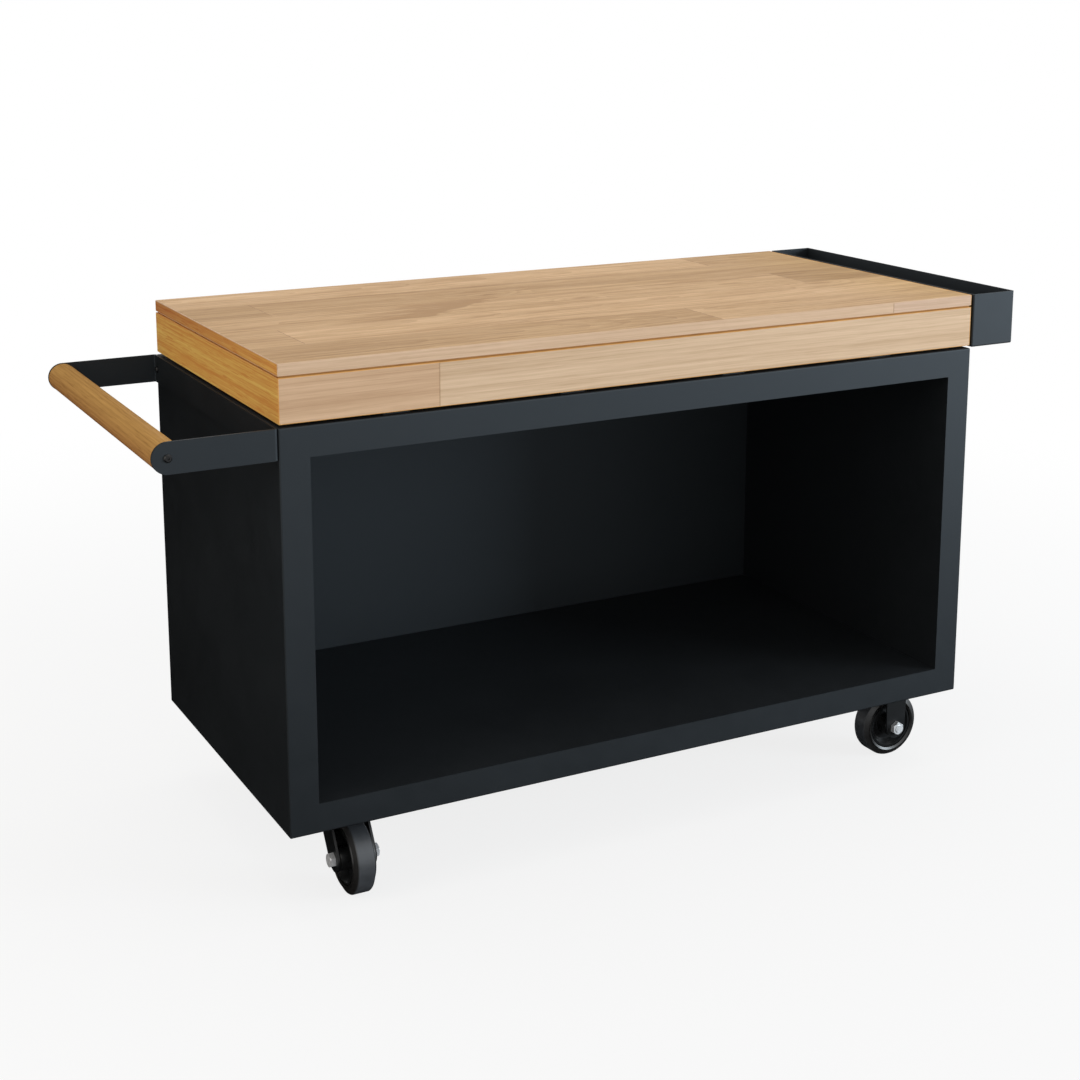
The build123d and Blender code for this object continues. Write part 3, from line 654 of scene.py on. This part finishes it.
floor.data.materials.append(material)


# Studio: an even white room with three soft lights, a cool one at the front right, one overhead and a weak
# warm one at the left. Two sheets of black felt, out of the picture, keep the gloss of the lower front and
# of the left end dark.
def softbox(name, place, target, size, watts, colour):
    """A rectangular soft light at a place, facing a target."""
    lamp = bpy.data.lights.new(name, "AREA")
    lamp.shape = "RECTANGLE"
    lamp.size, lamp.size_y = size
    lamp.energy = watts
    lamp.color = colour
    box = bpy.data.objects.new(name, lamp)
    bpy.context.scene.collection.objects.link(box)
    box.location = place
    box.rotation_euler = (Vector(target) - Vector(place)).to_track_quat("-Z", "Y").to_euler()
    box.visible_camera = False


world = bpy.data.worlds.new("studio")
bpy.context.scene.world = world
world.use_nodes = True
room_light = 0.6
brightness = {"Value": seen_as_background(world), "To Min": room_light, "To Max": 1.0}
brightness = add_node(world, "MapRange", brightness).outputs["Result"]
background = world.node_tree.nodes["Background"]
join(world, brightness, background, "Strength")
background.inputs["Color"].default_value = (1, 1, 1, 1)

cool, neutral, warm = (0.82, 0.92, 1.0), (1.0, 0.97, 0.93), (1.0, 0.90, 0.74)
softbox("front_right_light", (5.9, -4.7, 1.8), (0.1, 0, 0.6), size=(2.8, 2.6), watts=350, colour=cool)
softbox("overhead_light", (0.2, 0.2, 3.4), (0.05, 0, 0.9), size=(3.0, 2.2), watts=24, colour=neutral)
softbox("left_light", (-3.0, -0.7, 1.5), (-0.6, 0, 0.7), size=(1.4, 1.4), watts=13, colour=warm)

felt_reach, felt_front, felt_height, felt_lift = 2.2, -1.85, 1.7, 0.002
felt_back = cad_high[1] + 0.015
felt_black = (0.004, 0.004, 0.004, 1)
felt, surface, _ = new_finish("black_felt")
surface.inputs["Base Color"].default_value = felt_black
surface.inputs["Specular IOR Level"].default_value = 0.0
lying = [(-felt_reach, felt_front, felt_lift), (felt_reach, felt_front, felt_lift)]
lying += [(felt_reach, felt_back, felt_lift), (-felt_reach, felt_back, felt_lift)]
cabinet_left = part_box("left_side_panel")[0].x
standing = [(-felt_reach, felt_back, 0), (cabinet_left, felt_back, 0)]
standing += [(cabinet_left, felt_back, felt_height), (-felt_reach, felt_back, felt_height)]
for name, corners in (("lying_felt", lying), ("standing_felt", standing)):
    sheet = flat_sheet(name, corners)
    sheet.data.materials.append(felt)
    sheet.visible_camera = sheet.visible_diffuse = sheet.visible_shadow = sheet.visible_transmission = False


# Camera: standing to the left of the front and above the worktop, with part of its tilt taken by lens shift.
# Its place and lens follow the photograph's two-point perspective.
tilt_down, turn_right = radians(11.45), 0.48599
camera_data = bpy.data.cameras.new("camera")
camera_data.sensor_width = 36
camera_data.lens = 60.47
camera_data.shift_y = -0.17
camera = bpy.data.objects.new("camera", camera_data)
bpy.context.scene.collection.objects.link(camera)
camera.location = (-1.52265, -2.8683, 1.4723)
camera.rotation_euler = (radians(90) - tilt_down, 0, -turn_right)
bpy.context.scene.camera = camera
